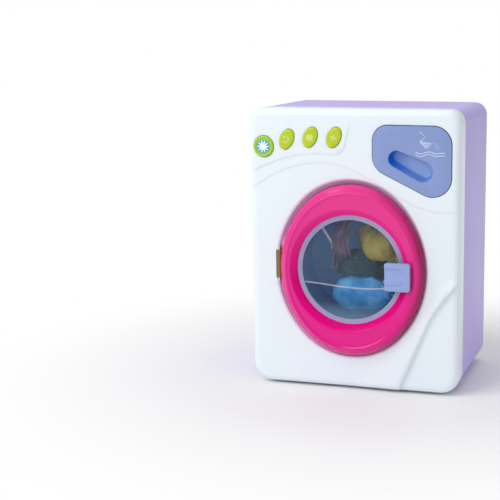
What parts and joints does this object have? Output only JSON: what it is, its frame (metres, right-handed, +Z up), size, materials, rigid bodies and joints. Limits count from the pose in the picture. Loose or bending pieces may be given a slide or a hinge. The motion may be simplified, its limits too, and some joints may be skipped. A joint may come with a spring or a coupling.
{
  "type": "toy_washing_machine",
  "caption": "Toy front-loading washing machine with a hinged oval door, a gear-driven drum with toy laundry, a slide-out dispenser drawer and four push buttons",
  "frame": {"origin": "On the resting plane, in the middle of the whole outline, under the rubber feet", "axes": "+X to the right seen from the front, +Y from the door to the back, +Z up"},
  "size_m": [0.19, 0.145, 0.25],
  "materials": {
    "white_plastic": "moulded, satin gloss",
    "lavender_plastic": "moulded, fine satin",
    "pink_plastic": "moulded, gloss",
    "pale_blue_plastic": "moulded, satin gloss",
    "periwinkle_plastic": "moulded, satin gloss",
    "smoky_plastic": "clear, smoky, polished",
    "slate_plastic": "moulded, satin",
    "olive_plastic": "moulded, satin",
    "lime_plastic": "moulded, gloss",
    "lamp_plastic": "translucent, glossy",
    "nylon": "natural, satin",
    "grey_plastic": "moulded, satin",
    "black_plastic": "moulded, matte",
    "board_laminate": "solder mask, satin",
    "rubber": "soft, matte",
    "steel": "zinc plated",
    "brass": "turned",
    "cell_jacket": "plain jacket",
    "blue_cloth": "woven cotton",
    "teal_cloth": "woven cotton",
    "mustard_cloth": "woven cotton",
    "mauve_cloth": "woven cotton"
  },
  "bodies": {
    "case": {"front_shell": "white_plastic", "drawer_housing": "white_plastic", "rear_shell": "lavender_plastic", "battery_door": "lavender_plastic", "lamp_led": "lamp_plastic", "gearbox_plate": "grey_plastic", "gearbox_cover": "grey_plastic", "battery_box": "grey_plastic", "contact_switches": "black_plastic", "sound_chip": "black_plastic", "speaker": "black_plastic", "circuit_board": "board_laminate", "rubber_feet": "rubber", "case_screws": "steel", "hinge_pin": "steel", "gearbox_screws": "steel", "idler_axle": "steel", "motor": "steel", "board_screws": "steel", "housing_screws": "steel", "battery_contacts": "steel", "battery_screw": "steel", "drum_bush_front": "brass", "drum_bush_rear": "brass", "batteries": "cell_jacket"},
    "door": {"door_ring": "pink_plastic", "door_frame": "lavender_plastic", "door_window": "smoky_plastic", "door_handle": "pale_blue_plastic", "door_hinge": "olive_plastic", "door_screws": "steel"},
    "drum": {"drum": "slate_plastic", "drum_shaft": "steel", "drum_gear": "nylon", "laundry_blue": "blue_cloth", "laundry_teal": "teal_cloth", "laundry_mustard": "mustard_cloth", "laundry_mauve": "mauve_cloth"},
    "idler": {"idler_gear": "nylon"},
    "pinion": {"motor_pinion": "brass", "motor_shaft": "steel"},
    "lamp_button": {"lamp_button": "lamp_plastic"},
    "button_1": {"button_1": "lime_plastic"},
    "button_2": {"button_2": "lime_plastic"},
    "button_3": {"button_3": "lime_plastic"},
    "drawer": {"dispenser_drawer": "periwinkle_plastic"}
  },
  "joints": [
    {"name": "door_swing", "type": "hinge", "parent": "case", "child": "door", "pos_m": [-0.0685, -0.0585, 0.1115], "axis": [0, 0, -1], "range_deg": [0, 105]},
    {"name": "drum_spin", "type": "hinge", "parent": "case", "child": "drum", "pos_m": [-0.002, -0.0185, 0.1095], "axis": [0, 1, 0], "continuous": true},
    {"name": "idler_spin", "type": "hinge", "parent": "case", "child": "idler", "pos_m": [0.01305, 0.0305, 0.13557], "axis": [0, 1, 0], "continuous": true},
    {"name": "pinion_spin", "type": "hinge", "parent": "case", "child": "pinion", "pos_m": [0.03615, 0.0305, 0.13557], "axis": [0, 1, 0], "continuous": true},
    {"name": "drawer_slide", "type": "slide", "parent": "case", "child": "drawer", "axis": [0, -1, 0], "range_m": [0, 0.036]},
    {"name": "lamp_button_press", "type": "slide", "parent": "case", "child": "lamp_button", "axis": [0, 1, 0], "range_m": [0, 0.0016], "stiffness_N_per_m": 400},
    {"name": "button_1_press", "type": "slide", "parent": "case", "child": "button_1", "axis": [0, 1, 0], "range_m": [0, 0.0016], "stiffness_N_per_m": 400},
    {"name": "button_2_press", "type": "slide", "parent": "case", "child": "button_2", "axis": [0, 1, 0], "range_m": [0, 0.0016], "stiffness_N_per_m": 400},
    {"name": "button_3_press", "type": "slide", "parent": "case", "child": "button_3", "axis": [0, 1, 0], "range_m": [0, 0.0016], "stiffness_N_per_m": 400}
  ],
  "couplings": [
    {"joint": "idler_spin", "follows": "drum_spin", "ratio": -4},
    {"joint": "pinion_spin", "follows": "drum_spin", "ratio": 14.4}
  ]
}
